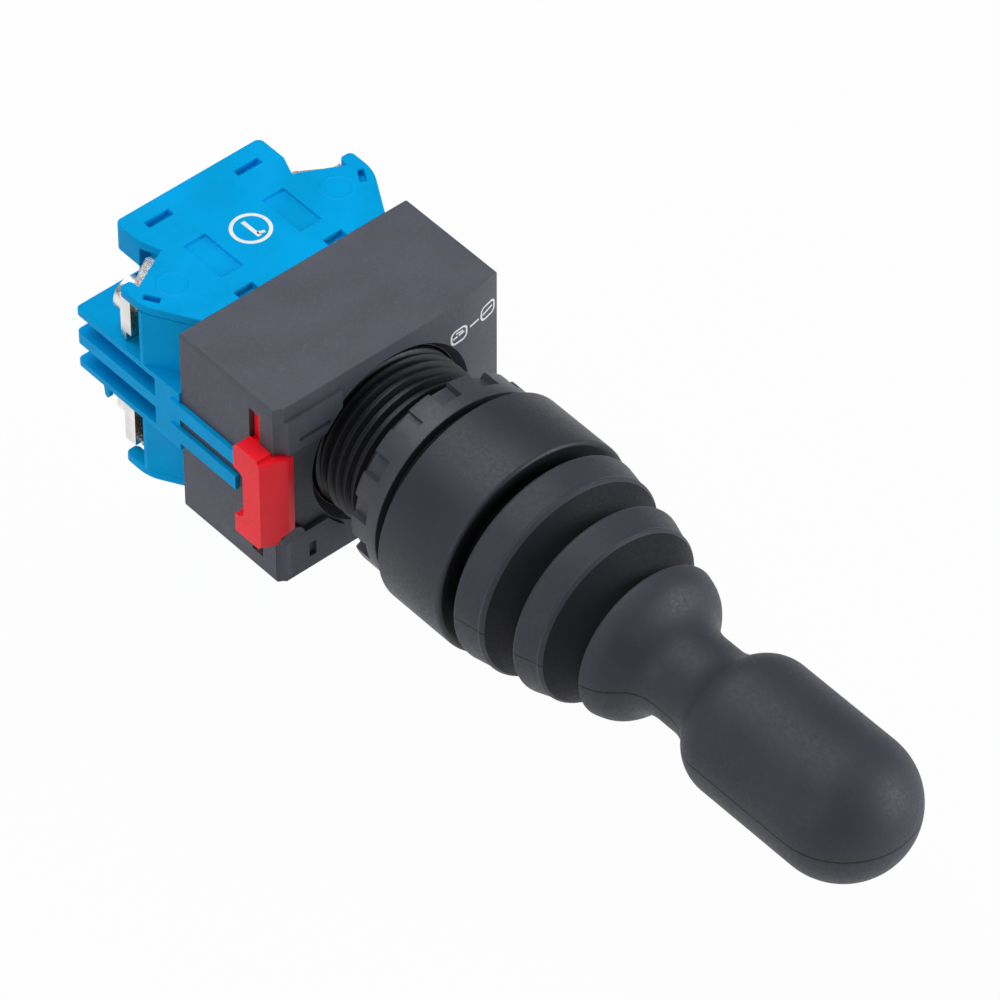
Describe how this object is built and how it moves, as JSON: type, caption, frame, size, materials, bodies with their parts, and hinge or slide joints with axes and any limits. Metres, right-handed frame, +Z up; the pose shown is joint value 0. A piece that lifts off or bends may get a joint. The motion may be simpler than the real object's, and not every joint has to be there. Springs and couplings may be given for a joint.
{
  "type": "lever panel switch",
  "caption": "Panel-mount lever switch: rubber handle on a bellows boot, round bezel, threaded barrel with lock nut, grey base with a sliding lock and stacked blue contact blocks.",
  "frame": {"origin": "on the operator's axis, at the rear face of the gasket where it meets the panel", "axes": "+Y goes into the panel towards the contact blocks, the handle points along -Y, +Z is up and +X runs along the base's width, away from the lock slide"},
  "size_m": [0.0381, 0.1255, 0.0294],
  "materials": {
    "black_plastic": "fine satin, dark",
    "black_rubber": "satin rubber",
    "handle_rubber": "satin rubber",
    "grey_plastic": "fine matte moulding",
    "red_plastic": "semi gloss",
    "blue_plastic": "semi gloss moulding",
    "gasket_rubber": "matte rubber",
    "inner_plastic": "natural moulding",
    "steel": "zinc plated",
    "spring_steel": "drawn wire",
    "brass": "stamped",
    "silver": "nickel plated"
  },
  "bodies": {
    "fixed": {"barrel": "black_plastic", "bezel_ring": "black_plastic", "panel_gasket": "gasket_rubber", "bellows_boot": "black_rubber", "gate_plate": "steel", "pivot_pin": "steel", "rod_guide": "inner_plastic", "rod_spring_1": "spring_steel", "rod_spring_2": "spring_steel", "base_housing": "grey_plastic", "retaining_plate": "steel", "plate_screws": "steel", "block_1_case": "blue_plastic", "block_1_cover": "blue_plastic", "contact_strips_1": "brass", "wire_clamps_1": "silver", "terminal_screws_1": "silver", "return_spring_1": "spring_steel", "block_2_case": "blue_plastic", "block_2_cover": "blue_plastic", "contact_strips_2": "brass", "wire_clamps_2": "silver", "terminal_screws_2": "silver", "return_spring_2": "spring_steel"},
    "lever": {"lever_handle": "handle_rubber", "lever_shaft": "steel", "rocker": "steel", "jam_nut": "steel"},
    "rod_1": {"push_rod_1": "inner_plastic", "plunger_1": "inner_plastic", "contact_bridge_1": "silver"},
    "rod_2": {"push_rod_2": "inner_plastic", "plunger_2": "inner_plastic", "contact_bridge_2": "silver"},
    "lock_slide": {"lock_slide": "red_plastic"},
    "washer": {"lock_washer": "steel"},
    "nut": {"lock_nut": "black_plastic"}
  },
  "joints": [
    {"name": "lever_tilt", "type": "hinge", "parent": "fixed", "child": "lever", "pos_m": [0, -0.005, 0], "axis": [1, 0, 0], "range_deg": [-18, 18], "stiffness_Nm_per_rad": 1.5, "springref_deg": -0.39, "deforming": ["bellows_boot"]},
    {"name": "rod_1_slide", "type": "slide", "parent": "fixed", "child": "rod_1", "axis": [0, 1, 0], "range_m": [-0.00205, 0.00205], "deforming": ["rod_spring_1", "return_spring_1"]},
    {"name": "rod_2_slide", "type": "slide", "parent": "fixed", "child": "rod_2", "axis": [0, 1, 0], "range_m": [-0.00205, 0.00205], "deforming": ["rod_spring_2", "return_spring_2"]},
    {"name": "lock_slide_pull", "type": "slide", "parent": "fixed", "child": "lock_slide", "axis": [-1, 0, 0], "range_m": [0, 0.0035]},
    {"name": "washer_travel", "type": "slide", "parent": "fixed", "child": "washer", "axis": [0, 1, 0], "range_m": [0, 0.006]},
    {"name": "nut_spin", "type": "hinge", "parent": "washer", "child": "nut", "pos_m": [0, 0, 0], "axis": [0, 1, 0], "range_deg": [0, 1440]}
  ],
  "couplings": [
    {"joint": "rod_1_slide", "follows": "lever_tilt", "m_per_rad": -0.006492},
    {"joint": "rod_2_slide", "follows": "lever_tilt", "m_per_rad": 0.006492},
    {"joint": "nut_spin", "follows": "washer_travel", "rad_per_m": 4188.8}
  ]
}
